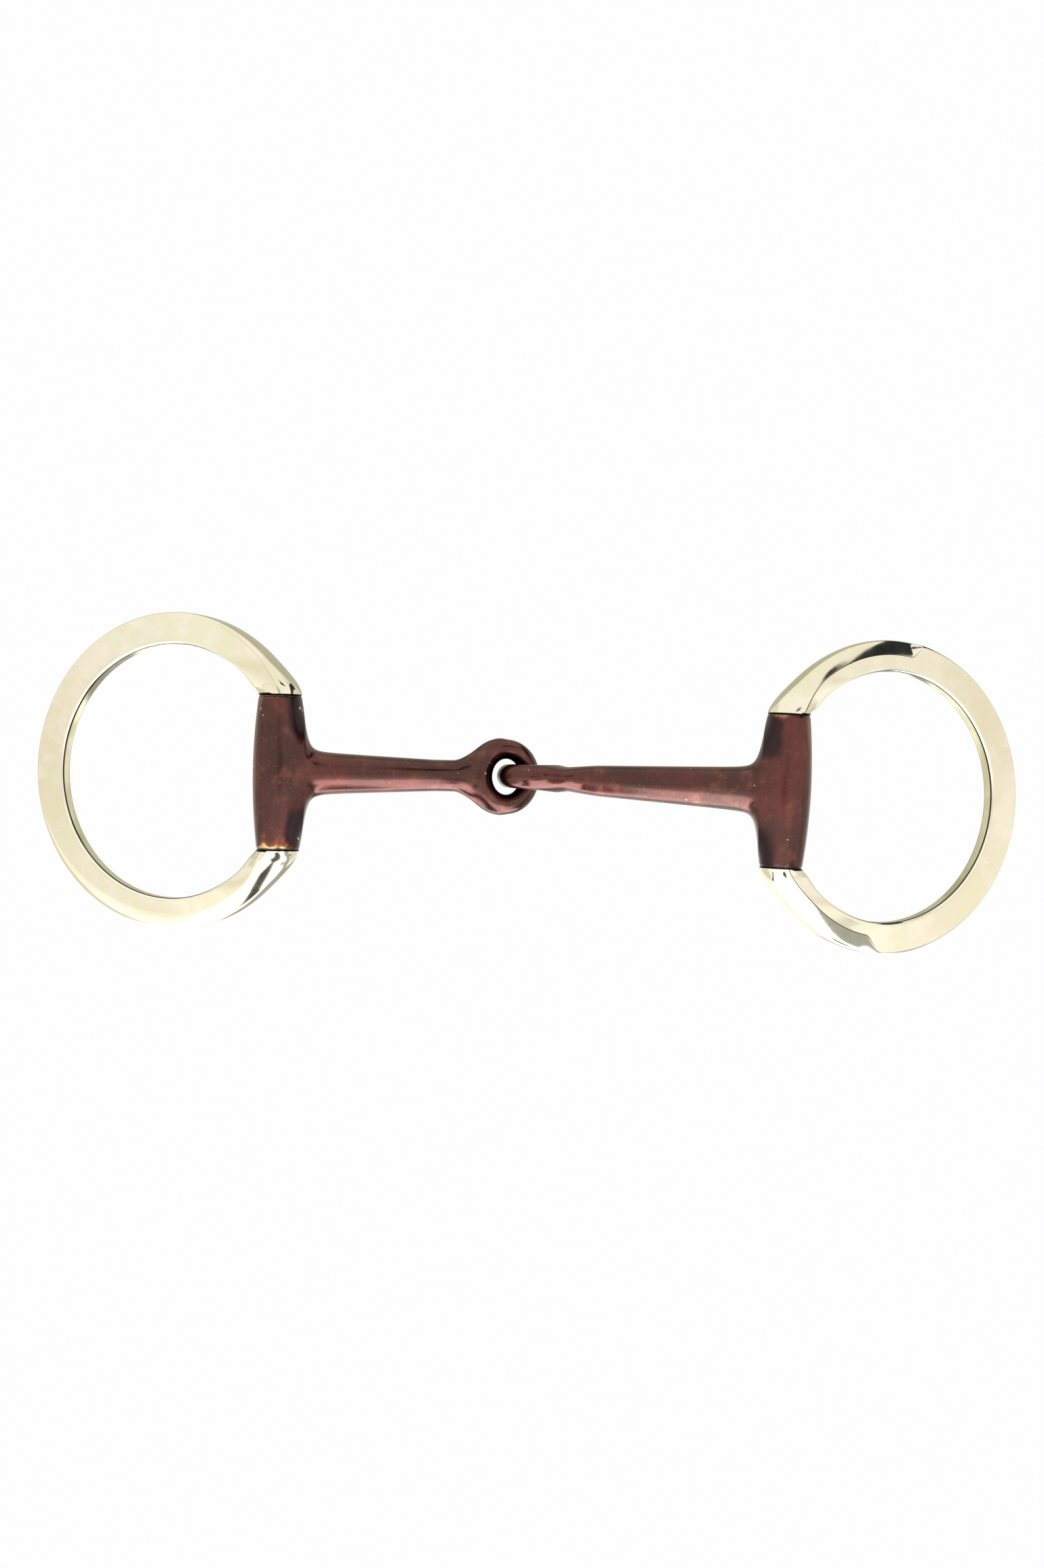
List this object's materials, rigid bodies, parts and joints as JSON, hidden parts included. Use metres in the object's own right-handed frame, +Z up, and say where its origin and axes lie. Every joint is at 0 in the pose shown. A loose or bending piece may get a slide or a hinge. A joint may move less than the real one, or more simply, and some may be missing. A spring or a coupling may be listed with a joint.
{
  "type": "snaffle bit",
  "caption": "Single-jointed eggbutt snaffle bit with flat oval cheek rings that turn on barrel hinges.",
  "frame": {"origin": "on the surface that the bit lies on, under the middle of its outline", "axes": "+X along the mouthpiece from the flat-eyed left half to the right half, +Y along the barrels, +Z up"},
  "size_m": [0.2794, 0.0956, 0.0322],
  "materials": {
    "ring_steel": "mirror-polished stainless steel with a warm tone",
    "pin_steel": "drawn steel rod, oiled",
    "mouth_alloy": "copper alloy with a dark red-brown patina, semi-gloss, worn golden at the barrel ends"
  },
  "bodies": {
    "left_arm": {"left_mouthpiece": "mouth_alloy"},
    "left_cheek": {"left_ring": "ring_steel", "left_hinge_pin": "pin_steel"},
    "right_arm": {"right_mouthpiece": "mouth_alloy"},
    "right_cheek": {"right_ring": "ring_steel", "right_hinge_pin": "pin_steel"}
  },
  "joints": [
    {"name": "left_cheek_hinge", "type": "hinge", "parent": "left_arm", "child": "left_cheek", "pos_m": [-0.0697, 0.00313, 0.025], "axis": [0.0175, 0.9998, 0], "range_deg": [-80, 140]},
    {"name": "mouth_fold", "type": "hinge", "parent": "left_arm", "child": "right_arm", "pos_m": [-0.00045, 0.00192, 0.01034], "axis": [-0.0175, -0.9998, 0], "range_deg": [-84, 36]},
    {"name": "right_cheek_hinge", "type": "hinge", "parent": "right_arm", "child": "right_cheek", "pos_m": [0.06973, -0.002, 0.025], "axis": [-0.0558, -0.9984, 0], "range_deg": [-80, 140]}
  ]
}
